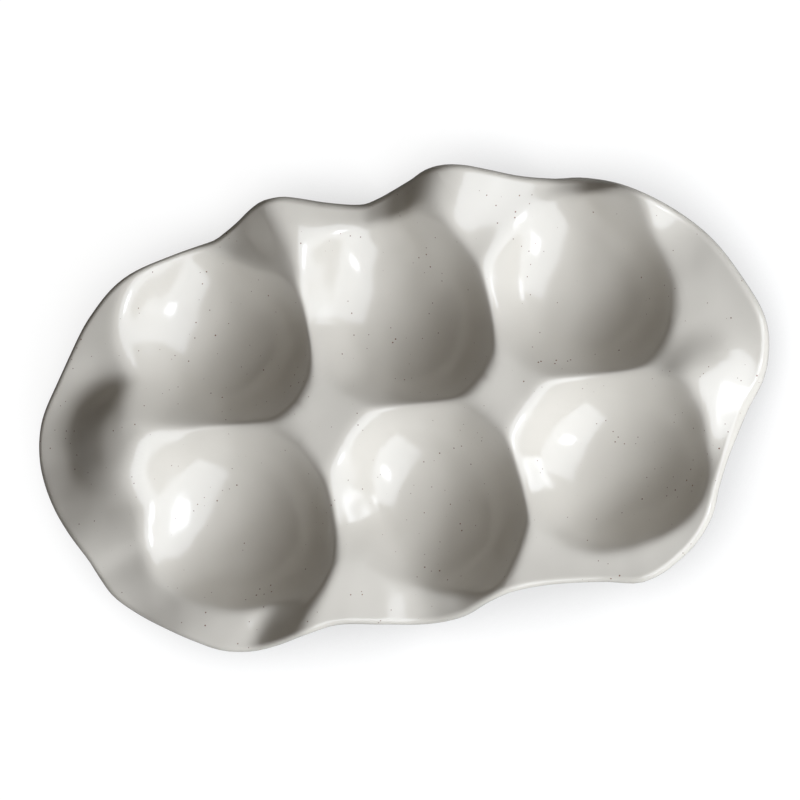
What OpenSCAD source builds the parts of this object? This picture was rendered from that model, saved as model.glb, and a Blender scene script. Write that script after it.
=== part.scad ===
// Deviled egg platter: a hand-formed stoneware dish with six round wells, a wavy lip
// and a glossy glaze that stops short of the bare, ground feet it stands on.
// Origin under the middle of the rim's box, on the table, +X along the rows of three wells, +Z up.

/* [Wells] */
// Spacing of the wells along a row
pitch_x = 64.5; // [60:0.5:72]
// Spacing of the two rows
pitch_y = 64.5; // [60:0.5:76]
// Radius of the ball that shapes a well
well_radius = 34; // [31:0.5:37]

/* [Rim] */
// Clay past the wells at each end
end_flange = 32.2; // [27:0.2:39]
// Clay past the wells at the front and back
side_flange = 12.35; // [9:0.05:17]
// Height of the web between the wells above the table
web_height = 27; // [25:0.5:31]
// Lowest dip of the lip above the table
lip_low = 13.5; // [12:0.5:16]
// Highest crest of the lip above the table
lip_high = 31; // [28:0.5:35]
// Rounding of the lip's edge
lip_radius = 1.8; // [1.4:0.1:2.4]

/* [Clay] */
// Thickness of the clay
wall = 5; // [4:0.1:6]
// Depth to which each foot is ground flat
foot_sink = 0.8; // [0.5:0.1:1.2]
// Width of the bare ring left round a foot
dry_ring = 3; // [2.5:0.25:5]

/* [Hand work] */
// Softness of the crests between wells
crest_soft = 1.2; // [0.8:0.1:2.4]
// Height of a full swell pushed up by hand
swell_height = 7; // [4:0.5:10]
// Height by which the web leans to the front right over each crest
slant_height = 0.8; // [0:0.1:2]

/* [Glaze] */
// Thickness of the glaze
glaze = 0.45; // [0.3:0.05:0.7]

/* [Hidden] */

half_length = pitch_x + well_radius + end_flange;
half_width = pitch_y / 2 + well_radius + side_flange;
floor_thickness = wall - foot_sink;

// Middle of the wells' grid, as shares of the half sizes of the rim
grid_shares = [0.064, 0.045];
grid_middle = [grid_shares.x * half_length, grid_shares.y * half_width];

// One row a well, anticlockwise from the back right: drift along x and y in pitches, size of its ball,
// how much further it reaches to one side and the angle of that side,
// how much longer than round it is and the angle of its long axis
well_shares = [
    [0, -0.075, 0.97, 0.5, 104, 0.1, -45],
    [0, -0.065, 0.97, 0.5, 105, 0.1, -48],
    [0, -0.05, 0.94, 0.4, 98, 0.08, -30],
    [-0.03, -0.04, 1.06, 0.4, 205, 0.06, -60],
    [0.05, -0.045, 0.98, 0.3, 258, 0.11, -50],
    [0.045, 0.015, 1, 0.2, 240, 0.1, -16]
];
// How narrowly the reach of a well is aimed
reach_focus = 16;
well_count = len(well_shares);
last_well = well_count - 1;
row_count = well_count / 2;

// Share of a ball's radius past which the wall of a well runs on straight
steep_share = 0.74;

// The rim's waves, anticlockwise from the right end: angle on the ellipse of the half sizes,
// reach of the rim as a share of that ellipse, and height from lip_low, 0, to lip_high, 1
rim_shares = [
    [0, 0.996, 0.18], [8, 1.013, 0.26], [20, 1.018, 0.31], [32, 1.04, 0.31],
    [38, 1.05, 0.48], [42, 1.056, 0.74], [45, 1.059, 0.9], [48, 1.06, 0.84],
    [51, 1.058, 0.54], [54, 1.053, 0.24], [57, 1.042, 0.12], [60, 1.02, 0.14],
    [65, 1.008, 0.4], [70, 1.02, 0.76], [73, 1.03, 0.95], [76, 1.03, 1],
    [79, 1.015, 0.82], [82, 0.985, 0.42], [85, 0.955, 0.16], [88, 0.925, 0.07],
    [91, 0.91, 0.08], [96, 0.941, 0.4], [101, 0.997, 0.88], [103, 1.004, 0.98],
    [105, 1.006, 0.92], [108, 0.998, 0.6], [111, 0.985, 0.28], [114, 0.971, 0.13],
    [117, 0.96, 0.14], [124, 0.979, 0.5], [132, 0.998, 0.76], [142, 0.978, 0.8],
    [152, 0.959, 0.7], [160, 0.968, 0.45], [170, 1.003, 0.08], [180, 1.013, 0],
    [187, 1.009, 0.1], [194, 1.002, 0.35], [201, 1, 0.6], [208, 1.01, 0.62],
    [213, 1.037, 0.35], [218, 1.064, 0.08], [224, 1.077, 0.06], [230, 1.083, 0.2],
    [235, 1.092, 0.29], [240, 1.103, 0.23], [244, 1.085, 0.17], [248, 1.034, 0.54],
    [252, 0.976, 0.89], [257, 0.925, 0.77], [264, 0.931, 0.49], [271, 0.951, 0.2],
    [277, 0.945, 0.4], [283, 0.908, 0.8], [288, 0.896, 0.86], [294, 0.925, 0.66],
    [300, 0.996, 0.46], [304, 1.07, 0.37], [312, 1.071, 0.37], [320, 1.036, 0.43],
    [328, 0.98, 0.42], [336, 0.95, 0.3], [346, 0.948, 0.16], [354, 0.978, 0.13]
];

// Share of the way to the rim at which the web starts to bend to the lip
bend_share = 0.5;

// Swells and hollows of the web: place in half sizes of the rim, height in swell heights,
// spread along x and y in well radii, and firmness, where 2 has a flat top and steep sides
swell_shares = [
    [-0.74, 0.03, 1.4, 0.55, 0.54, 2],
    [-0.8, 0.3, -0.5, 0.33, 0.25, 1],
    [0.84, -0.13, 1.4, 0.46, 0.48, 1.6]
];

// Grid of the surface: one cell round each well, whose borders run along the crests.
// Rim angles at which a crest meets the lip
split_angles = [2, 77, 104, 174, 251, 287];
// Points round the rim, the shares of them from each crest to the next,
// and as shares of them the steps along each crest, last the one between the inner junctions
rim_points = 108;
arc_shares = [0.204, 0.111, 0.185, 0.185, 0.111, 0.204];
crest_shares = [0.111, 0.074, 0.074, 0.111, 0.074, 0.074, 0.074];
// Share of its length over which a crest leaves its ends before it follows its two bowls,
// and how far from the straight line it may then run, in well radii
leave_share = 0.3;
stray_share = 0.35;
// Rings of a cell on top and underneath, and rows of points round the lip's edge
top_ring_shares = [0, 0.22, 0.42, 0.6, 0.76, 0.9, 1];
under_ring_shares = [0, 0.25, 0.5, 0.74, 0.9, 1];
lip_rows = 3;
// How much closer the rings crowd to the well where the rim is far from it
crowd_share = 1.05;
// Step for slopes, as a share of the wall and as an angle on the rim
probe_share = 0.1;
probe_angle = 0.5;
// Times that a search for a crest halves its stretch
halvings = 12;

probe = wall * probe_share;
top_rings = len(top_ring_shares) - 1;
under_rings = len(under_ring_shares) - 1;
lip_row_count = round(lip_rows);

function total(values) = [for (v = values) 1] * values;
function mix(a, b, f) = a + (b - a) * f;
function turned(list) = [for (k = [len(list) - 1:-1:0]) list[k]];
function all_but_last(list) = [for (k = [0:1:len(list) - 2]) list[k]];
// Lowest of several heights, with the corner between any two rounded off
function soft_min(heights) =
    let (low = min(heights))
    low - crest_soft * ln(total([for (z = heights) exp((low - z) / crest_soft)]));
// Even numbers of steps, so that every second point can be left out underneath
function even_steps(shares) = [for (s = shares) 2 * round(rim_points * s / 2)];
arc_steps = even_steps(arc_shares);
crest_steps = even_steps(crest_shares);

// Wells: middle, radius of the ball, reach and its direction, oval and its direction
wells = [
    for (c = [0:last_well])
    let (s = well_shares[c], back = c < row_count, col = back ? 1 - c : c - row_count - 1)
    [
        grid_middle.x + (col + s[0]) * pitch_x,
        grid_middle.y + ((back ? 1 : -1) / 2 + s[1]) * pitch_y,
        well_radius * s[2],
        s[3],
        [cos(s[4]), sin(s[4])],
        s[5],
        [cos(s[6]), sin(s[6])]
    ]
];
function middle(w) = [w[0], w[1]];
// Radius of a well's ball towards a point
function ball(w, p) =
    let (away = p - middle(w), d = norm(away), way = d > 0 ? away / d : [0, 0], along = way * w[6])
    w[2] * (1 + w[3] * pow((1 + way * w[4]) / 2, reach_focus) + w[5] * (2 * along * along - 1));
// Height of a ball's underside, grown by out, with its steep part run on straight
function bowl(w, p, out) =
    let (r = ball(w, p), grown = r + out, q = norm(p - middle(w)) / grown)
    let (level = sqrt(1 - steep_share * steep_share))
    let (drop = q < steep_share ? sqrt(1 - q * q) : level - (q - steep_share) * steep_share / level)
    floor_thickness + r - grown * drop;

// Rim: a smooth curve through the hand-chosen stations, closed on itself
last_station = len(rim_shares) - 1;
function wrapped(i, turns) = [rim_shares[i][0] + 360 * turns, rim_shares[i][1], rim_shares[i][2]];
stations = concat(
    [wrapped(last_station - 1, -1), wrapped(last_station, -1)],
    rim_shares,
    [wrapped(0, 1), wrapped(1, 1)]
);
function hermite(a, b, da, db, f) =
    (2 * f - 3) * f * f * (a - b) + a + f * (f - 1) * ((f - 1) * da + f * db);
function rim_value(angle, column) =
    let (t = angle - 360 * floor(angle / 360))
    let (i = len([for (s = stations) if (s[0] <= t) 1]) - 1)
    let (s0 = stations[i - 1], s1 = stations[i], s2 = stations[i + 1], s3 = stations[i + 2])
    let (span = s2[0] - s1[0])
    hermite(
        s1[column],
        s2[column],
        span * (s2[column] - s0[column]) / (s2[0] - s0[0]),
        span * (s3[column] - s1[column]) / (s3[0] - s1[0]),
        (t - s1[0]) / span
    );
function rim_xy(t) = rim_value(t, 1) * [half_length * cos(t), half_width * sin(t)];
function rim_out(t) =
    let (d = rim_xy(t + probe_angle) - rim_xy(t - probe_angle))
    [d.y, -d.x] / norm(d);
// Middle of the lip's rounding, inside the rim
function lip_xy(t) = rim_xy(t) - (lip_radius + glaze) * rim_out(t);

// Web: leaning over each crest between the wells, bending to the waves of the lip, with the swells added
function slant(share) =
    let (turn = 360 * (share - 1 / 2))
    sin(turn) + sin(2 * turn) / 2;
function swell(p, s) =
    let (x = (p.x / half_length - s[0]) * half_length / (s[3] * well_radius))
    let (y = (p.y / half_width - s[1]) * half_width / (s[4] * well_radius))
    swell_height * s[2] * exp(-pow(x * x + y * y, s[5]));
function web(p) =
    let (u = [p.x / half_length, p.y / half_width], t = atan2(u.y, u.x))
    let (near = max(0, (norm(u) / rim_value(t, 1) - bend_share) / (1 - bend_share)))
    let (bend = near * near * (3 - 2 * near))
    let (lip = mix(lip_low, lip_high, rim_value(t, 2)))
    let (across = slant((p.x - grid_middle.x) / pitch_x))
    let (down = slant((grid_middle.y - p.y) / pitch_y - 1 / 2))
    mix(web_height - slant_height * (across + down), lip, bend)
        + max(0, 1 - pow(near, 4)) * total([for (s = swell_shares) swell(p, s)]);
// Web's height, and how much longer a wall there is along Z than square to it
function web_wall(p) =
    let (z = web(p), dx = web(p + [probe, 0]) - z, dy = web(p + [0, probe]) - z)
    [z, norm([dx, dy, probe]) / probe];

// Upper and under faces of the clay, or of the glaze where out is its thickness
function upper(p, out) =
    let (z = web_wall(p))
    soft_min(concat([z[0] + out * z[1]], [for (w = wells) bowl(w, p, -out)]));
function under(p, out) =
    let (z = web_wall(p))
    soft_min(concat([z[0] - (wall + out) * z[1]], [for (w = wells) bowl(w, p, wall + out)]));

// Borders of the cells: the lip all round, the two junctions, and the crests between
rim_angles = [
    for (i = [0:last_well])
    let (from = split_angles[i], to = i < last_well ? split_angles[i + 1] : split_angles[0] + 360)
    for (k = [0:arc_steps[i] - 1])
    mix(from, to, k / arc_steps[i])
];
rim_count = len(rim_angles);
function arc_start(i) = i == 0 ? 0 : arc_start(i - 1) + arc_steps[i - 1];
// Middles of the four wells round the left junction and round the right one
junctions = [
    for (outer = [[row_count - 1, row_count], [0, last_well]])
    total([for (c = concat(outer, [1, row_count + 1])) middle(wells[c])]) / 4
];
lip_places = [for (t = rim_angles) lip_xy(t)];
rim_places = [for (t = rim_angles) rim_xy(t)];
function halfway(values) = (min(values) + max(values)) / 2;
rim_middle = [halfway([for (p = rim_places) p.x]), halfway([for (p = rim_places) p.y]), 0];
// Crests: one from the lip between each well and the one before, last the one between the junctions
inner_crest = well_count;
function crest_from(e) = e < inner_crest ? arc_start(e) : rim_count;
function crest_to(e) = rim_count + (abs(e - row_count) <= 1 ? 0 : 1);
function crest_wells(e) =
    e < inner_crest ? [wells[e], wells[(e + last_well) % well_count]] : [wells[1], wells[row_count + 1]];
// Place on a line through p at which the bowls of two wells are equally high, by halving
function meeting(p, way, a, b, low, high, tries) =
    let (mid = (low + high) / 2, q = p + way * mid)
    tries < 1 ? q
        : bowl(a, q, 0) < bowl(b, q, 0) ? meeting(p, way, a, b, mid, high, tries - 1)
        : meeting(p, way, a, b, low, mid, tries - 1);
function crest_place(e, f) =
    let (p = mix(ends[crest_from(e)], ends[crest_to(e)], f))
    let (pair = crest_wells(e), apart = middle(pair[1]) - middle(pair[0]), stray = stray_share * well_radius)
    let (met = meeting(p, apart / norm(apart), pair[0], pair[1], -stray, stray, halvings))
    mix(p, met, min(1, min(f, 1 - f) / leave_share));
ends = concat(lip_places, junctions);
borders = concat(ends, [
    for (e = [0:inner_crest], k = [1:crest_steps[e] - 1])
    crest_place(e, k / crest_steps[e])
]);
border_count = len(borders);
function crest_start(e) = e == 0 ? len(ends) : crest_start(e - 1) + crest_steps[e - 1] - 1;
function crest_path(e) = concat(
    [crest_from(e)],
    [for (k = [0:crest_steps[e] - 2]) crest_start(e) + k],
    [crest_to(e)]
);
// Crest between the junctions, the way round that a middle well's cell runs along it
function inner_path(c) =
    c == 1 ? crest_path(inner_crest)
        : c == row_count + 1 ? turned(crest_path(inner_crest))
        : [];
// Border of a cell, anticlockwise, as numbers into borders
function cell_loop(c) = concat(
    [for (k = [0:arc_steps[c] - 1]) arc_start(c) + k],
    all_but_last(crest_path((c + 1) % well_count)),
    all_but_last(inner_path(c)),
    all_but_last(turned(crest_path(c)))
);
loops = [for (c = [0:last_well]) cell_loop(c)];
halves = [for (loop = loops) [for (k = [0:2:len(loop) - 1]) loop[k]]];

// Place on the line from a well's middle to its border, share f of the way past a start
function along(w, b, start, f) =
    let (reach = b - middle(w), d = norm(reach))
    let (crowd = 1 + crowd_share * max(0, d / well_radius - 1))
    middle(w) + reach / d * mix(start, d, pow(f, crowd));
// Radius of the ground foot towards a border point, and of the edge of the glaze
function foot_radius(w, b) =
    let (r = ball(w, b))
    sqrt(pow(r + wall, 2) - pow(r + floor_thickness, 2));
function dry_radius(w, b) = foot_radius(w, b) + dry_ring;

// Points of one skin: top, lip and underside, from the edge of one dry ring to the next
function top_points(out) = concat(
    [for (p = borders) [p.x, p.y, upper(p, out)]],
    [
        for (c = [0:last_well])
        let (w = wells[c])
        each concat(
            [[w[0], w[1], upper(middle(w), out)]],
            [
                for (k = [1:top_rings - 1], b = loops[c])
                let (p = along(w, borders[b], 0, top_ring_shares[k]))
                [p.x, p.y, upper(p, out)]
            ]
        )
    ]
);
function lip_points(out) = [
    for (row = [1:lip_row_count], k = [0:rim_count - 1])
    let (p = lip_places[k], n = rim_out(rim_angles[k]), a = 90 - 180 * row / (lip_row_count + 1))
    let (top = upper(p, out), low = under(p, out), reach = (lip_radius + out) * cos(a))
    let (slope = (top - upper(p - probe * n, out)) / probe)
    [p.x + n.x * reach, p.y + n.y * reach, (top + low) / 2 + (top - low) / 2 * sin(a) + slope * reach]
];
function under_points(out) = concat(
    [for (p = borders) [p.x, p.y, under(p, out)]],
    [
        for (c = [0:last_well], k = [0:under_rings - 1], b = halves[c])
        let (start = dry_radius(wells[c], borders[b]) + (k == 0 ? out : 0))
        let (p = along(wells[c], borders[b], start, under_ring_shares[k]))
        [p.x, p.y, under(p, out)]
    ]
);
function skin_points(out) = concat(top_points(out), lip_points(out), under_points(out));

// Numbers of those points
function top_start(c) = c == 0 ? border_count : top_start(c - 1) + 1 + (top_rings - 1) * len(loops[c - 1]);
lip_start = top_start(well_count);
under_start = lip_start + lip_row_count * rim_count;
function under_cell(c) = c == 0 ? under_start + border_count : under_cell(c - 1) + under_rings * len(halves[c - 1]);
skin_count = under_cell(well_count);
function top_ring(c, k) =
    k == top_rings ? loops[c] : [for (j = [0:len(loops[c]) - 1]) top_start(c) + 1 + (k - 1) * len(loops[c]) + j];
function under_ring(c, k) = [for (j = [0:len(halves[c]) - 1]) under_cell(c) + k * len(halves[c]) + j];
function lip_row(row) = [
    for (k = [0:rim_count - 1])
    row == 0 ? k : row > lip_row_count ? under_start + k : lip_start + (row - 1) * rim_count + k
];

// Faces between two closed rows of as many points, first row above or inside
function band(a, b) = [
    for (j = [0:len(a) - 1])
    let (n = (j + 1) % len(a))
    each [[a[j], a[n], b[n]], [a[j], b[n], b[j]]]
];
// Faces between a row and one of twice as many points outside it
function half_band(a, b) = [
    for (j = [0:len(a) - 1])
    let (n = (j + 1) % len(a), m = (2 * j + 2) % len(b))
    each [[a[j], b[2 * j + 1], b[2 * j]], [a[j], a[n], b[2 * j + 1]], [a[n], b[m], b[2 * j + 1]]]
];
function fan(hub, ring) = [for (j = [0:len(ring) - 1]) [hub, ring[(j + 1) % len(ring)], ring[j]]];
function flipped(faces) = [for (f = faces) turned(f)];
function shifted(faces, n) = [for (f = faces) [for (i = f) i + n]];

skin_faces = concat(
    [for (c = [0:last_well]) each fan(top_start(c), top_ring(c, 1))],
    [for (c = [0:last_well], k = [1:top_rings - 1]) each band(top_ring(c, k), top_ring(c, k + 1))],
    [for (row = [0:lip_row_count]) each band(lip_row(row), lip_row(row + 1))],
    flipped([for (c = [0:last_well], k = [0:under_rings - 2]) each band(under_ring(c, k), under_ring(c, k + 1))]),
    flipped([
        for (c = [0:last_well])
        each half_band(under_ring(c, under_rings - 1), [for (b = loops[c]) under_start + b])
    ])
);

// Feet: a flat disc under each well, and the bare ring up to the edge of the glaze
foot_points = [
    for (c = [0:last_well])
    let (w = wells[c])
    each concat(
        [[w[0], w[1], 0]],
        [
            for (b = halves[c])
            let (reach = borders[b] - middle(w))
            let (p = middle(w) + reach / norm(reach) * foot_radius(w, borders[b]))
            [p.x, p.y, 0]
        ]
    )
];
function foot_start(c) = c == 0 ? skin_count : foot_start(c - 1) + 1 + len(halves[c - 1]);
function foot_ring(c) = [for (j = [0:len(halves[c]) - 1]) foot_start(c) + 1 + j];
foot_faces = flipped(concat(
    [for (c = [0:last_well]) each fan(foot_start(c), foot_ring(c))],
    [for (c = [0:last_well]) each band(foot_ring(c), under_ring(c, 0))]
));

// The fired clay, with a wall of even thickness and a ground foot under each well
module stoneware_body() {
    color("#cbbba2")
    translate(-rim_middle)
    polyhedron(concat(skin_points(0), foot_points), concat(skin_faces, foot_faces));
}

// The glaze, fused to the clay all over but for the feet and their bare rings
module glaze_coat() {
    collar = [
        for (c = [0:last_well])
        each band(under_ring(c, 0), [for (i = under_ring(c, 0)) i + skin_count])
    ];
    color("#e4dfd3")
    translate(-rim_middle)
    polyhedron(
        concat(skin_points(glaze), skin_points(0)),
        concat(skin_faces, shifted(flipped(skin_faces), skin_count), collar)
    );
}

stoneware_body();
glaze_coat();
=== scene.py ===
import math

import bpy
import numpy as np
from mathutils import Matrix, Vector


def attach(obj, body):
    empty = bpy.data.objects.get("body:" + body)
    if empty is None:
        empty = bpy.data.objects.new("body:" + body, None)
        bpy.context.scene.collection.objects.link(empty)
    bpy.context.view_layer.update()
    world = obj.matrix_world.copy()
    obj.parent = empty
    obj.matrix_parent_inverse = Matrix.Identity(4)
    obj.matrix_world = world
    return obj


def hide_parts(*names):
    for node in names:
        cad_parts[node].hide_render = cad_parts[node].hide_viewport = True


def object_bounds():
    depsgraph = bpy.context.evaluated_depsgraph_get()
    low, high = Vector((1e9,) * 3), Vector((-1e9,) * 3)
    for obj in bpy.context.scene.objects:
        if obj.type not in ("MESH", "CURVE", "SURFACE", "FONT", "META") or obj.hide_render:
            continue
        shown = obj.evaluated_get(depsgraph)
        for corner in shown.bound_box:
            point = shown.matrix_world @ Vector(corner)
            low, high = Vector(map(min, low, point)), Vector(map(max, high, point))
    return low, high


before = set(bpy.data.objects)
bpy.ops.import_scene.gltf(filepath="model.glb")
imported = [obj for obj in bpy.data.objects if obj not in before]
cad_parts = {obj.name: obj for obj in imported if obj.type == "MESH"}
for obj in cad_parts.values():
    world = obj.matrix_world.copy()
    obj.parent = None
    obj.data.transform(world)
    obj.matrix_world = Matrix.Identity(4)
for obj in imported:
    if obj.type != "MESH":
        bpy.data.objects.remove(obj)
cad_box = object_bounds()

# Metres in a millimetre
MM = 0.001

# Driving sizes in millimetres, the same as the solids'
PITCH_X = 64.5
PITCH_Y = 64.5
WELL_RADIUS = 34.0
END_FLANGE = 32.2
SIDE_FLANGE = 12.35
WEB_HEIGHT = 27.0
LIP_LOW = 13.5
LIP_HIGH = 31.0
LIP_RADIUS = 1.8
WALL = 5.0
FOOT_SINK = 0.8
DRY_RING = 3.0
CREST_SOFT = 1.2
SWELL_HEIGHT = 7.0
SLANT = 0.8
GLAZE = 0.45

HALF_LENGTH = PITCH_X + WELL_RADIUS + END_FLANGE
HALF_WIDTH = PITCH_Y / 2 + WELL_RADIUS + SIDE_FLANGE
FLOOR = WALL - FOOT_SINK

# Middle of the wells' grid, as shares of the half sizes of the rim
GRID_SHARES = (0.064, 0.045)

# One row a well, anticlockwise from the back right: drift along x and y in pitches, size of its ball,
# how much further it reaches to one side and the angle of that side,
# how much longer than round it is and the angle of its long axis
WELL_SHARES = np.array((
    (0.0, -0.075, 0.97, 0.5, 104, 0.1, -45),
    (0.0, -0.065, 0.97, 0.5, 105, 0.1, -48),
    (0.0, -0.05, 0.94, 0.4, 98, 0.08, -30),
    (-0.03, -0.04, 1.06, 0.4, 205, 0.06, -60),
    (0.05, -0.045, 0.98, 0.3, 258, 0.11, -50),
    (0.045, 0.015, 1.0, 0.2, 240, 0.1, -16),
))
# How narrowly the reach of a well is aimed
REACH_FOCUS = 16

# Share of a ball's radius past which the wall of a well runs on straight
STEEP_SHARE = 0.74

# The rim's waves, anticlockwise from the right end: angle on the ellipse of the half sizes,
# reach of the rim as a share of that ellipse, and height from the lowest dip, 0, to the highest crest, 1.
# From 194 to 240, at the front left, the waves are gentler than the solids'; the rest is the same
RIM_SHARES = np.array((
    (0, 0.996, 0.18), (8, 1.013, 0.26), (20, 1.018, 0.31), (32, 1.04, 0.31), (38, 1.05, 0.48),
    (42, 1.056, 0.74), (45, 1.059, 0.9), (48, 1.06, 0.84), (51, 1.058, 0.54), (54, 1.053, 0.24),
    (57, 1.042, 0.12), (60, 1.02, 0.14), (65, 1.008, 0.4), (70, 1.02, 0.76), (73, 1.03, 0.95),
    (76, 1.03, 1.0), (79, 1.015, 0.82), (82, 0.985, 0.42), (85, 0.955, 0.16), (88, 0.925, 0.07),
    (91, 0.91, 0.08), (96, 0.941, 0.4), (101, 0.997, 0.88), (103, 1.004, 0.98), (105, 1.006, 0.92),
    (108, 0.998, 0.6), (111, 0.985, 0.28), (114, 0.971, 0.13), (117, 0.96, 0.14), (124, 0.979, 0.5),
    (132, 0.998, 0.76), (142, 0.978, 0.8), (152, 0.959, 0.7), (160, 0.968, 0.45), (170, 1.003, 0.08),
    (180, 1.013, 0.0), (187, 1.009, 0.1), (194, 1.002, 0.28), (201, 1.0, 0.4), (208, 1.01, 0.4),
    (213, 1.037, 0.3), (218, 1.064, 0.28), (224, 1.077, 0.28), (230, 1.083, 0.36), (235, 1.092, 0.38),
    (240, 1.103, 0.27), (244, 1.085, 0.17), (248, 1.034, 0.54), (252, 0.976, 0.89), (257, 0.925, 0.77),
    (264, 0.931, 0.49), (271, 0.951, 0.2), (277, 0.945, 0.4), (283, 0.908, 0.8), (288, 0.896, 0.86),
    (294, 0.925, 0.66), (300, 0.996, 0.46), (304, 1.07, 0.37), (312, 1.071, 0.37), (320, 1.036, 0.43),
    (328, 0.98, 0.42), (336, 0.95, 0.3), (346, 0.948, 0.16), (354, 0.978, 0.13),
))
# Columns of the rim's table
ANGLE, REACH, HEIGHT = range(3)

# Share of the way to the rim at which the web starts to bend to the lip
BEND_SHARE = 0.5

# Swells and hollows of the web: place in half sizes of the rim, height in swell heights,
# spread along x and y in well radii, and firmness, where 2 has a flat top and steep sides
SWELL_SHARES = (
    (-0.74, 0.03, 1.4, 0.55, 0.54, 2),
    (-0.8, 0.3, -0.5, 0.33, 0.25, 1),
    (0.84, -0.13, 1.4, 0.46, 0.48, 1.6),
)

# Grid of the surface: six cells, one round each well, whose borders run along the crests.
# Rim angles at which a crest meets the lip, and points along the rim and the crests
SPLIT_ANGLES = (2, 77, 104, 174, 251, 287)
ARC_STEPS = (66, 36, 60, 60, 36, 66)
CREST_STEPS = (36, 24, 24, 36, 24, 24, 24)
TOP_RINGS = 36
UNDER_RINGS = 16
LIP_ROWS = 8
# Share of its length over which a crest leaves its ends, how far it may stray in well radii,
# and the times that the search for its place is halved
LEAVE_SHARE = 0.3
STRAY_SHARE = 0.35
HALVINGS = 14
# How much closer rings crowd to the well where the rim is far from it, and to the border on top
CROWD_SHARE = 1.05
BORDER_CROWDING = 1.3
# Steps for slopes, along the web in millimetres and along the rim in degrees
PROBE = 0.1 * WALL
PROBE_ANGLE = 0.25
# Least distance from a well's middle in millimetres, so that nothing is divided by zero
LEAST = 0.001
# Points along the rim here to one of the solids'
FINENESS = 3
# Angle above which the clay's edges are shaded as sharp, for the rim of each foot
SHARP_ANGLE = math.radians(12)

WELL_COUNT = len(WELL_SHARES)
ROW_COUNT = WELL_COUNT // 2
WELLS = range(WELL_COUNT)
BACK_MIDDLE, FRONT_MIDDLE = 1, ROW_COUNT + 1
# Wells round the left and the right junction, the places where four cells meet
JUNCTION_WELLS = ((1, 2, 3, 4), (0, 1, 4, 5))
# The last crest runs between the junctions, and each one before it from the lip to a junction
INNER_CREST = WELL_COUNT

# Real sizes of the glaze's patterns: specks and their patches, clouds of colour, finger waves, ripple
SPECK_SPACING = 2.8 * MM
PATCH_LENGTH = 16 * MM
CLOUD_LENGTH = 30 * MM
WAVE_LENGTH = 18 * MM
WAVE_HEIGHT = 1.4 * MM
RIPPLE_LENGTH = 5 * MM
RIPPLE_HEIGHT = 0.03 * MM
# Radii of specks in spacings, in the barest and the fullest patches, and the width of their soft edge
SPECK_SHARES = (0.035, 0.115)
SPECK_EDGE_SHARE = 0.035
# Levels of the patches' noise taken as barest and fullest
PATCH_LEVELS = (0.38, 0.66)

MIDDLE = (GRID_SHARES[0] * HALF_LENGTH, GRID_SHARES[1] * HALF_WIDTH)


def well_table():
    """For each well: middle x and y, ball radius, reach and where that points, oval and where that points."""
    number = np.arange(WELL_COUNT)
    back = number < ROW_COUNT
    row = np.where(back, 0.5, -0.5)
    col = np.where(back, BACK_MIDDLE - number, number - FRONT_MIDDLE)
    drift_x, drift_y, size, reach, side, oval, axis = WELL_SHARES.T
    side, axis = np.radians(side), np.radians(axis)
    return np.stack([
        MIDDLE[0] + (col + drift_x) * PITCH_X,
        MIDDLE[1] + (row + drift_y) * PITCH_Y,
        WELL_RADIUS * size, reach, np.cos(side), np.sin(side), oval, np.cos(axis), np.sin(axis),
    ], 1)


WELL = well_table()


def ball(well, x, y):
    """Radius of a ball towards (x, y): its own times 1 + reach ((1 + cos a) / 2)^focus + oval cos(2 b),
    where a and b are the angles from the side that it reaches to and from its long axis."""
    mid_x, mid_y, radius, reach, side_x, side_y, oval, axis_x, axis_y = well
    dx, dy = x - mid_x, y - mid_y
    d = np.maximum(np.hypot(dx, dy), LEAST)
    side, along = (dx * side_x + dy * side_y) / d, (dx * axis_x + dy * axis_y) / d
    return radius * (1 + reach * ((1 + side) / 2) ** REACH_FOCUS + oval * (2 * along * along - 1))


def bowl(well, x, y, out):
    """Underside of a ball grown by out: a circle's arc, carried on along its tangent past the steep share."""
    mid_x, mid_y = well[:2]
    radius = ball(well, x, y)
    grown = radius + out
    q = np.hypot(x - mid_x, y - mid_y) / grown
    level = math.sqrt(1 - STEEP_SHARE ** 2)
    arc = np.sqrt(1 - np.minimum(q, STEEP_SHARE) ** 2)
    return FLOOR + radius - grown * (arc - np.maximum(q - STEEP_SHARE, 0) * STEEP_SHARE / level)


def rim_value(angle, column):
    """A column of the rim's table at any angle: cubic curves from station to station, all the way round."""
    stations = np.concatenate([RIM_SHARES[-2:] - (360, 0, 0), RIM_SHARES, RIM_SHARES[:2] + (360, 0, 0)])
    at, value = stations[:, ANGLE], stations[:, column]
    t = np.mod(angle, 360)
    i = np.searchsorted(at, t, side="right") - 1
    span = at[i + 1] - at[i]
    f = (t - at[i]) / span
    start = span * (value[i + 1] - value[i - 1]) / (at[i + 1] - at[i - 1])
    end = span * (value[i + 2] - value[i]) / (at[i + 2] - at[i])
    gap = value[i] - value[i + 1]
    return (2 * f - 3) * f * f * gap + value[i] + f * (f - 1) * ((f - 1) * start + f * end)


def rim_xy(t):
    """The rim seen from above: an ellipse times the stations' reach."""
    reach, turn = rim_value(t, REACH), np.radians(t)
    return np.stack([reach * HALF_LENGTH * np.cos(turn), reach * HALF_WIDTH * np.sin(turn)], -1)


def rim_out(t):
    """Level direction square to the rim, pointing away from the platter."""
    d = rim_xy(t + PROBE_ANGLE) - rim_xy(t - PROBE_ANGLE)
    return np.stack([d[..., 1], -d[..., 0]], -1) / np.hypot(d[..., 0], d[..., 1])[..., None]


def slant(share):
    """Saw-toothed wave of the share of a pitch past a well's middle: up fast at the half, slow to fall."""
    turn = 2 * np.pi * (share - 0.5)
    return np.sin(turn) + np.sin(2 * turn) / 2


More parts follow.
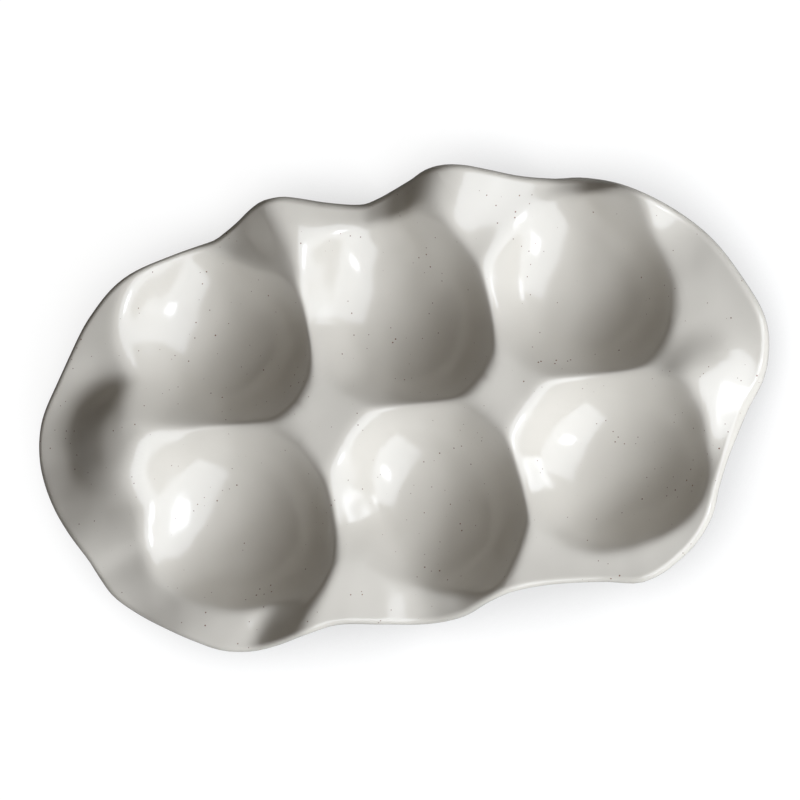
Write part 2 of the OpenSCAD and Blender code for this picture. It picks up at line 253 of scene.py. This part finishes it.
def web(x, y):
    """Height of the clay between the wells: level, with swells exp(-q^n), bending to the lip's waves."""
    u, v = x / HALF_LENGTH, y / HALF_WIDTH
    t = np.degrees(np.arctan2(v, u))
    near = np.maximum(0, (np.hypot(u, v) / rim_value(t, REACH) - BEND_SHARE) / (1 - BEND_SHARE))
    bend = near * near * (3 - 2 * near)
    lip = LIP_LOW + (LIP_HIGH - LIP_LOW) * rim_value(t, HEIGHT)
    flat = WEB_HEIGHT - SLANT * (slant((x - MIDDLE[0]) / PITCH_X) + slant((MIDDLE[1] - y) / PITCH_Y - 0.5))
    level = flat + (lip - flat) * bend
    for sx, sy, height, wide, deep, firm in SWELL_SHARES:
        along = (u - sx) * HALF_LENGTH / (wide * WELL_RADIUS)
        across = (v - sy) * HALF_WIDTH / (deep * WELL_RADIUS)
        q = along ** 2 + across ** 2
        level = level + SWELL_HEIGHT * height * np.exp(-q ** firm) * np.maximum(0, 1 - near ** 4)
    return level


def web_wall(x, y):
    """The web's height, and how much longer a wall there is along Z than square to it."""
    z = web(x, y)
    dx, dy = web(x + PROBE, y) - z, web(x, y + PROBE) - z
    return z, np.sqrt(dx * dx + dy * dy + PROBE * PROBE) / PROBE


def soft_min(heights):
    """Lowest of several heights, the corner between any two rounded: minus k ln(sum of exp(-z / k))."""
    low = np.min(heights, 0)
    return low - CREST_SOFT * np.log(np.sum(np.exp((low - heights) / CREST_SOFT), 0))


def upper(x, y, out):
    """Upper face of the clay, raised by out square to itself."""
    z, gain = web_wall(x, y)
    return soft_min(np.stack([z + out * gain] + [bowl(w, x, y, -out) for w in WELL]))


def under(x, y, out):
    """Under face of the clay, one wall below the upper, lowered by out square to itself."""
    z, gain = web_wall(x, y)
    return soft_min(np.stack([z - (WALL + out) * gain] + [bowl(w, x, y, WALL + out) for w in WELL]))


def rim_angle_list():
    """Angles of the points along the rim, evenly spaced from each crest to the next."""
    ends = SPLIT_ANGLES[1:] + (SPLIT_ANGLES[0] + 360,)
    arcs = [np.linspace(a, b, n, endpoint=False) for a, b, n in zip(SPLIT_ANGLES, ends, ARC_STEPS)]
    return np.concatenate(arcs)


RIM_ANGLES = rim_angle_list()
RIM_COUNT = len(RIM_ANGLES)
ARC_STARTS = np.concatenate([[0], np.cumsum(ARC_STEPS)])
LIP_XY = rim_xy(RIM_ANGLES) - (LIP_RADIUS + GLAZE) * rim_out(RIM_ANGLES)
JUNCTIONS = np.stack([WELL[list(wells), :2].mean(0) for wells in JUNCTION_WELLS])
# Numbers of the junctions among the border points, straight after the rim's
LEFT_JUNCTION, RIGHT_JUNCTION = RIM_COUNT, RIM_COUNT + 1


def crest_ends(e):
    """Numbers of the border points at a crest's two ends, and of the wells on its sides."""
    if e == INNER_CREST:
        return LEFT_JUNCTION, RIGHT_JUNCTION, BACK_MIDDLE, FRONT_MIDDLE
    junction = LEFT_JUNCTION if abs(e - ROW_COUNT) <= 1 else RIGHT_JUNCTION
    return ARC_STARTS[e], junction, e, (e - 1) % WELL_COUNT


def crest_line(e, ends):
    """Points along a crest: those of a straight line, moved by halving to where its bowls are equally high,
    and less near its ends."""
    first, last, a, b = crest_ends(e)
    f = np.arange(1, CREST_STEPS[e])[:, None] / CREST_STEPS[e]
    p = ends[first] + (ends[last] - ends[first]) * f
    way = WELL[b, :2] - WELL[a, :2]
    way = way / np.hypot(*way)
    low = np.full(len(p), -STRAY_SHARE * WELL_RADIUS)
    high = -low
    for _ in range(HALVINGS):
        mid = (low + high) / 2
        q = p + way * mid[:, None]
        first_lower = bowl(WELL[a], q[:, 0], q[:, 1], 0) < bowl(WELL[b], q[:, 0], q[:, 1], 0)
        low, high = np.where(first_lower, mid, low), np.where(first_lower, high, mid)
    weight = np.minimum(1, np.minimum(f, 1 - f) / LEAVE_SHARE)
    return p + way * mid[:, None] * weight


def border_points():
    """Plan of the cells' borders: the lip's middle line, the junctions, and the points along the crests."""
    ends = np.concatenate([LIP_XY, JUNCTIONS])
    return np.concatenate([ends] + [crest_line(e, ends) for e in range(INNER_CREST + 1)])


BORDER = border_points()
CREST_STARTS = RIM_COUNT + len(JUNCTIONS) + np.concatenate([[0], np.cumsum(np.array(CREST_STEPS) - 1)])


def crest_path(e):
    """Numbers of a crest's border points from the lip inwards, or from the left junction to the right one."""
    first, last = crest_ends(e)[:2]
    return np.concatenate([[first], np.arange(CREST_STARTS[e], CREST_STARTS[e + 1]), [last]])


def cell_loop(c):
    """Numbers of the border points round a well's cell, anticlockwise."""
    between = crest_path(INNER_CREST)
    inner = {BACK_MIDDLE: [between[:-1]], FRONT_MIDDLE: [between[::-1][:-1]]}.get(c, [])
    arc = np.arange(ARC_STARTS[c], ARC_STARTS[c + 1])
    return np.concatenate([arc, crest_path((c + 1) % WELL_COUNT)[:-1]] + inner + [crest_path(c)[::-1][:-1]])


LOOPS = [cell_loop(c) for c in WELLS]


def spokes(c, start, shares):
    """Places on the lines from a well's middle to its border, in rings by shares of the way past start,
    each share raised to a power that grows with the length of the line."""
    reach = BORDER[LOOPS[c]] - WELL[c, :2]
    d = np.hypot(reach[:, 0], reach[:, 1])
    crowd = 1 + CROWD_SHARE * np.maximum(0, d / WELL_RADIUS - 1)
    r = start + (d - start) * shares[:, None] ** crowd
    return WELL[c, :2] + (reach / d[:, None]) * r[..., None]


def foot_radius(c):
    """Radius at which a well's outer ball meets the table, along each spoke: the root of the ball's radius
    squared less the height of its middle squared."""
    p = BORDER[LOOPS[c]]
    radius = ball(WELL[c], p[:, 0], p[:, 1])
    return np.sqrt((radius + WALL) ** 2 - (radius + FLOOR) ** 2)


TOP_SHARES = 1 - (1 - np.arange(1, TOP_RINGS) / TOP_RINGS) ** BORDER_CROWDING
UNDER_SHARES = np.arange(UNDER_RINGS) / UNDER_RINGS


def lifted(xy, height, out):
    """Places in plan with the height of a face there."""
    return np.stack([xy[..., 0], xy[..., 1], height(xy[..., 0], xy[..., 1], out)], -1).reshape(-1, 3)


def lip_points(out):
    """The lip's edge: half an ellipse from the upper face to the under face, sloping with the upper face."""
    n = rim_out(RIM_ANGLES)
    top, low = upper(*LIP_XY.T, out), under(*LIP_XY.T, out)
    slope = (top - upper(*(LIP_XY - PROBE * n).T, out)) / PROBE
    a = np.radians(90 - 180 * np.arange(1, LIP_ROWS + 1) / (LIP_ROWS + 1))[:, None]
    reach = (LIP_RADIUS + out) * np.cos(a)
    z = (top + low) / 2 + (top - low) / 2 * np.sin(a) + slope * reach
    return np.concatenate([LIP_XY + n * reach[..., None], z[..., None]], -1).reshape(-1, 3)


def skin_points(out):
    """Top, lip and underside at out beyond the clay, from the edge of each foot's bare ring."""
    rows = [lifted(BORDER, upper, out)]
    for c in WELLS:
        rows += [lifted(WELL[c:c + 1, :2], upper, out), lifted(spokes(c, 0, TOP_SHARES), upper, out)]
    rows += [lip_points(out), lifted(BORDER, under, out)]
    for c in WELLS:
        rings = spokes(c, foot_radius(c) + DRY_RING, UNDER_SHARES)
        rings[0] = spokes(c, foot_radius(c) + DRY_RING + out, UNDER_SHARES[:1])[0]
        rows.append(lifted(rings, under, out))
    return np.concatenate(rows)


def skin_numbers():
    """Point numbers of the skin: each cell's hub and top rings, the lip's rows, each cell's under rings."""
    hubs, tops, unders = [], [], []
    n = len(BORDER)
    for loop in LOOPS:
        hubs.append(n)
        rings = n + 1 + np.arange((TOP_RINGS - 1) * len(loop)).reshape(TOP_RINGS - 1, -1)
        tops.append(np.concatenate([rings, loop[None]]))
        n += 1 + rings.size
    lip = n + np.arange(LIP_ROWS * RIM_COUNT).reshape(LIP_ROWS, -1)
    n += lip.size
    low = n
    n += len(BORDER)
    for loop in LOOPS:
        rings = n + np.arange(UNDER_RINGS * len(loop)).reshape(UNDER_RINGS, -1)
        unders.append(np.concatenate([rings, low + loop[None]]))
        n += rings.size
    rim = np.arange(RIM_COUNT)[None]
    return hubs, tops, np.concatenate([rim, lip, low + rim]), unders, n


HUBS, TOPS, LIP, UNDERS, SKIN_COUNT = skin_numbers()


def bands(rows):
    """Four-sided faces between each closed row of points and the next."""
    a, b = rows[:-1], rows[1:]
    return np.stack([a, b, np.roll(b, -1, 1), np.roll(a, -1, 1)], -1).reshape(-1, 4)


def fan(hub, ring):
    """Three-sided faces from a hub to a closed ring."""
    return np.stack([np.full(len(ring), hub), ring, np.roll(ring, -1)], -1)


def skin_faces():
    """Faces of the skin, pointing out of the clay."""
    quads = [bands(t) for t in TOPS] + [bands(LIP)] + [bands(u)[:, ::-1] for u in UNDERS]
    return np.concatenate(quads), np.concatenate([fan(h, t[0]) for h, t in zip(HUBS, TOPS)])


QUADS, TRIANGLES = skin_faces()


def rim_middle():
    """Middle of the rim's box in plan, which sits over the origin, by the points that the solids have too."""
    p = rim_xy(RIM_ANGLES[::FINENESS])
    return np.append((p.min(0) + p.max(0)) / 2, 0)


def make_piece(name, points, faces):
    """A smooth-shaded mesh at the origin, from faces and points in millimetres, kept in the solids' box."""
    mesh = bpy.data.meshes.new(name)
    places = np.clip((points - rim_middle()) * MM, *np.array(cad_box))
    mesh.from_pydata(places.tolist(), [], [f for part in faces for f in part.tolist()])
    mesh.validate()
    mesh.shade_smooth()
    piece = bpy.data.objects.new(name, mesh)
    bpy.context.scene.collection.objects.link(piece)
    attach(piece, "root")
    return piece


def make_glaze():
    """The glaze: its outer skin, the clay's skin turned inwards, and a collar joining them at each foot."""
    points = np.concatenate([skin_points(GLAZE), skin_points(0)])
    collars = [bands(np.stack([u[0], u[0] + SKIN_COUNT])) for u in UNDERS]
    faces = [QUADS, TRIANGLES, QUADS[:, ::-1] + SKIN_COUNT, TRIANGLES[:, ::-1] + SKIN_COUNT] + collars
    piece = make_piece("glaze_coat_fine", points, faces)
    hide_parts("glaze_coat")
    return piece


def make_body():
    """The clay: its skin, closed at each foot by the bare ring and a flat disc on the table."""
    points, faces = [skin_points(0)], [QUADS, TRIANGLES]
    n = SKIN_COUNT
    for c in WELLS:
        ring = spokes(c, foot_radius(c), np.zeros(1))[0]
        points.append(np.column_stack([np.vstack([WELL[c, :2], ring]), np.zeros(len(ring) + 1)]))
        numbers = n + 1 + np.arange(len(ring))
        faces += [bands(np.stack([numbers, UNDERS[c][0]]))[:, ::-1], fan(n, numbers)[:, ::-1]]
        n += 1 + len(ring)
    piece = make_piece("stoneware_body_fine", np.concatenate(points), faces)
    piece.data.set_sharp_from_angle(angle=SHARP_ANGLE)
    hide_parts("stoneware_body")
    return piece


def linear(code):
    """Linear colour of an sRGB hex value."""
    parts = [int(code[i:i + 2], 16) / 255 for i in (1, 3, 5)]
    return tuple(p / 12.92 if p <= 0.04045 else ((p + 0.055) / 1.055) ** 2.4 for p in parts) + (1.0,)


def add(tree, kind, inputs=(), **settings):
    """Adds a node with its settings; inputs maps a socket to a value, or to a node's output to link."""
    node = tree.nodes.new(kind)
    for key, value in settings.items():
        setattr(node, key, value)
    for key, value in dict(inputs).items():
        if isinstance(value, bpy.types.NodeSocket):
            tree.links.new(value, node.inputs[key])
        else:
            node.inputs[key].default_value = value
    return node


def new_material(name):
    """An empty node material and its tree."""
    material = bpy.data.materials.new(name)
    material.use_nodes = True
    material.node_tree.nodes.clear()
    return material, material.node_tree


def speck_mask(tree, place):
    """Iron specks: 1 close to the points scattered through the glaze, else 0; larger in some patches."""
    points = add(tree, "ShaderNodeTexVoronoi", {"Vector": place, "Scale": 1 / SPECK_SPACING})
    patches = add(tree, "ShaderNodeTexNoise", {"Vector": place, "Scale": 1 / PATCH_LENGTH, "Detail": 1})
    size = add(tree, "ShaderNodeMapRange", {
        "Value": patches.outputs[0],
        "From Min": PATCH_LEVELS[0], "From Max": PATCH_LEVELS[1],
        "To Min": SPECK_SHARES[0], "To Max": SPECK_SHARES[1],
    })
    inside = add(tree, "ShaderNodeMath", {0: size.outputs[0], 1: points.outputs["Distance"]},
                 operation="SUBTRACT")
    mask = add(tree, "ShaderNodeMapRange", {"Value": inside.outputs[0], "From Max": SPECK_EDGE_SHARE})
    return mask.outputs[0]


def hand_waves(tree, place):
    """Bump of the glaze: shallow waves left by fingers, and the faint ripple of the glaze itself."""
    waves = add(tree, "ShaderNodeTexNoise", {"Vector": place, "Scale": 1 / WAVE_LENGTH, "Detail": 0.5})
    ripple = add(tree, "ShaderNodeTexNoise", {"Vector": place, "Scale": 1 / RIPPLE_LENGTH, "Detail": 1})
    broad = add(tree, "ShaderNodeBump", {"Strength": 1, "Distance": WAVE_HEIGHT, "Height": waves.outputs[0]})
    fine = add(tree, "ShaderNodeBump", {
        "Strength": 1, "Distance": RIPPLE_HEIGHT, "Height": ripple.outputs[0], "Normal": broad.outputs[0]})
    return fine.outputs[0]


def cream_glaze():
    """Glossy cream stoneware glaze: warm off-white, a little uneven, with sparse red-brown iron specks."""
    material, tree = new_material("speckled_cream_stoneware_glaze")
    place = add(tree, "ShaderNodeTexCoord").outputs["Object"]
    cloud = add(tree, "ShaderNodeTexNoise", {"Vector": place, "Scale": 1 / CLOUD_LENGTH, "Detail": 2})
    cream = add(tree, "ShaderNodeMix", {
        "Factor": cloud.outputs[0], "A": linear("#e7e1d6"), "B": linear("#e0dace"),
    }, data_type="RGBA")
    colour = add(tree, "ShaderNodeMix", {
        "Factor": speck_mask(tree, place), "A": cream.outputs["Result"], "B": linear("#7d5039"),
    }, data_type="RGBA")
    shader = add(tree, "ShaderNodeBsdfPrincipled", {
        "Base Color": colour.outputs["Result"],
        "Roughness": 0.14,
        "IOR": 1.52,
        "Normal": hand_waves(tree, place),
    })
    add(tree, "ShaderNodeOutputMaterial", {"Surface": shader.outputs[0]})
    return material


def bare_clay():
    """Buff stoneware clay, fired and ground: dull and warm, seen only on the feet."""
    material, tree = new_material("bare_buff_stoneware")
    shader = add(tree, "ShaderNodeBsdfPrincipled", {"Base Color": linear("#cbbba2"), "Roughness": 0.75})
    add(tree, "ShaderNodeOutputMaterial", {"Surface": shader.outputs[0]})
    return material


glaze = make_glaze()
glaze.data.materials.append(cream_glaze())
body = make_body()
body.data.materials.append(bare_clay())

# Stage, in metres, degrees and watts.
# Table: how far its painted shadow reaches, the shares of open sky where that shadow is deepest and where it
# ends, and how white it is to the camera there
FLOOR_SIZE = 6.0
SHADOW_REACH = 0.04
SHADOW_SAMPLES = 16
OPEN_SHARES = (0.5, 0.88)
TABLE_WHITES = (0.68, 0.97)
# Light: its colours, the windows' side as an angle from the picture's right and a height,
# the cosines from that side at which the room is dimmest and brightest, and its strengths there
WHITE = "#ffffff"
DAYLIGHT = "#eef5ff"
ROOM_LIGHT = "#ffe9cb"
KEY_SIDE = (-24, 30)
ROOM_SIDES = (-0.5, 1.0)
ROOM_STRENGTHS = (0.02, 0.12)
# Windows: name, angle from the picture's right, height, distance, width and height of the pane, watts
WINDOWS = (
    ("wide_window", -30, 36, 1.6, 2.9, 1.2, 38),
    ("bright_pane", -24, 31, 1.4, 0.26, 0.26, 2.4),
    ("low_pane", 12, 11, 1.4, 0.5, 0.12, 1.6),
)
# Camera: turn of the platter in the picture, lean to its right end, distance, sensor in millimetres,
# width of the picture at the place that it aims at, and the shift of the photograph's frame in pixels
TURN = math.radians(8)
TILT = math.radians(15)
CAMERA_DISTANCE = 1.0
SENSOR_WIDTH = 36
PICTURE_WIDTH = 0.273
PICTURE_PIXELS = 800
SHIFT_PIXELS = (14, 6)
AIM = Vector((0.0, 0.0, 0.022))
PICTURE_RIGHT = Vector((math.cos(TURN), -math.sin(TURN), 0))
PICTURE_UP = Vector((math.sin(TURN), math.cos(TURN), 0))


def make_floor():
    """A plain table top: white to the camera where the sky over it is open, with painted shade darker round
    the platter.
    """
    half = FLOOR_SIZE / 2
    corners = [(-half, -half, 0), (half, -half, 0), (half, half, 0), (-half, half, 0)]
    mesh = bpy.data.meshes.new("table_top")
    mesh.from_pydata(corners, [], [(0, 1, 2, 3)])
    floor = bpy.data.objects.new("table_top", mesh)
    bpy.context.scene.collection.objects.link(floor)
    material, tree = new_material("plain_white_table")
    seen = add(tree, "ShaderNodeLightPath").outputs["Is Camera Ray"]
    # Painted shadow: to the camera the table glows, dimmed by ambient occlusion near the platter; its lit
    # base colour adds the real shadow from the windows
    open_sky = add(tree, "ShaderNodeAmbientOcclusion", {"Distance": SHADOW_REACH}, samples=SHADOW_SAMPLES)
    white = add(tree, "ShaderNodeMapRange", {
        "Value": open_sky.outputs["AO"],
        "From Min": OPEN_SHARES[0], "From Max": OPEN_SHARES[1],
        "To Min": TABLE_WHITES[0], "To Max": TABLE_WHITES[1],
    })
    painted_shadow_glow = add(tree, "ShaderNodeMath", {0: seen, 1: white.outputs[0]}, operation="MULTIPLY")
    shade = add(tree, "ShaderNodeMix", {
        "Factor": seen, "A": linear("#aaa8a4"), "B": linear("#606060"),
    }, data_type="RGBA")
    shader = add(tree, "ShaderNodeBsdfPrincipled", {
        "Base Color": shade.outputs["Result"],
        "Roughness": 0.9,
        "Emission Color": linear(WHITE),
        "Emission Strength": painted_shadow_glow.outputs[0],
    })
    add(tree, "ShaderNodeOutputMaterial", {"Surface": shader.outputs[0]})
    mesh.materials.append(material)


def toward(azimuth, elevation):
    """Direction by its angle from the picture's right towards its top, and its height, both in degrees."""
    a, e = math.radians(azimuth), math.radians(elevation)
    level = PICTURE_RIGHT * math.cos(a) + PICTURE_UP * math.sin(a)
    return level * math.cos(e) + Vector((0, 0, math.sin(e)))


def make_window(name, azimuth, elevation, distance, width, height, watts):
    """A soft window: a rectangular area lamp facing the platter."""
    lamp = bpy.data.lights.new(name, "AREA")
    lamp.shape = "RECTANGLE"
    lamp.size, lamp.size_y = width, height
    lamp.energy = watts
    lamp.color = linear(DAYLIGHT)[:3]
    place = bpy.data.objects.new(name, lamp)
    place.location = toward(azimuth, elevation) * distance
    place.rotation_euler = (-place.location).to_track_quat("-Z", "Y").to_euler()
    bpy.context.scene.collection.objects.link(place)


def make_room():
    """Dim room light, brighter on the windows' side; white where the camera looks past the table."""
    world = bpy.data.worlds.new("room")
    world.use_nodes = True
    tree = world.node_tree
    tree.nodes.clear()
    way = add(tree, "ShaderNodeTexCoord").outputs["Generated"]
    side = add(tree, "ShaderNodeVectorMath", {0: way, 1: toward(*KEY_SIDE)}, operation="DOT_PRODUCT")
    level = add(tree, "ShaderNodeMapRange", {
        "Value": side.outputs["Value"],
        "From Min": ROOM_SIDES[0], "From Max": ROOM_SIDES[1],
        "To Min": ROOM_STRENGTHS[0], "To Max": ROOM_STRENGTHS[1],
    }, interpolation_type="SMOOTHSTEP")
    seen = add(tree, "ShaderNodeLightPath").outputs["Is Camera Ray"]
    strength = add(tree, "ShaderNodeMix", {"Factor": seen, "A": level.outputs[0], "B": 1.0})
    tint = add(tree, "ShaderNodeMix", {
        "Factor": seen, "A": linear(ROOM_LIGHT), "B": linear(WHITE),
    }, data_type="RGBA")
    back = add(tree, "ShaderNodeBackground", {
        "Color": tint.outputs["Result"], "Strength": strength.outputs[0],
    })
    add(tree, "ShaderNodeOutputWorld", {"Surface": back.outputs[0]})
    bpy.context.scene.world = world


def make_camera():
    """The photograph's view: nearly from above, leaning to the right end, with the platter turned in it."""
    camera = bpy.data.cameras.new("camera")
    place = bpy.data.objects.new("camera", camera)
    back = PICTURE_RIGHT * math.sin(TILT) + Vector((0, 0, math.cos(TILT)))
    right = PICTURE_UP.cross(back)
    axes = Matrix((right, PICTURE_UP, back)).transposed().to_4x4()
    place.matrix_world = Matrix.Translation(AIM + back * CAMERA_DISTANCE) @ axes
    camera.sensor_width = SENSOR_WIDTH
    camera.lens = SENSOR_WIDTH * CAMERA_DISTANCE / PICTURE_WIDTH
    camera.shift_x, camera.shift_y = (pixels / PICTURE_PIXELS for pixels in SHIFT_PIXELS)
    bpy.context.scene.collection.objects.link(place)
    bpy.context.scene.camera = place


make_floor()
for window in WINDOWS:
    make_window(*window)
make_room()
make_camera()
bpy.context.scene.view_settings.view_transform = "Standard"
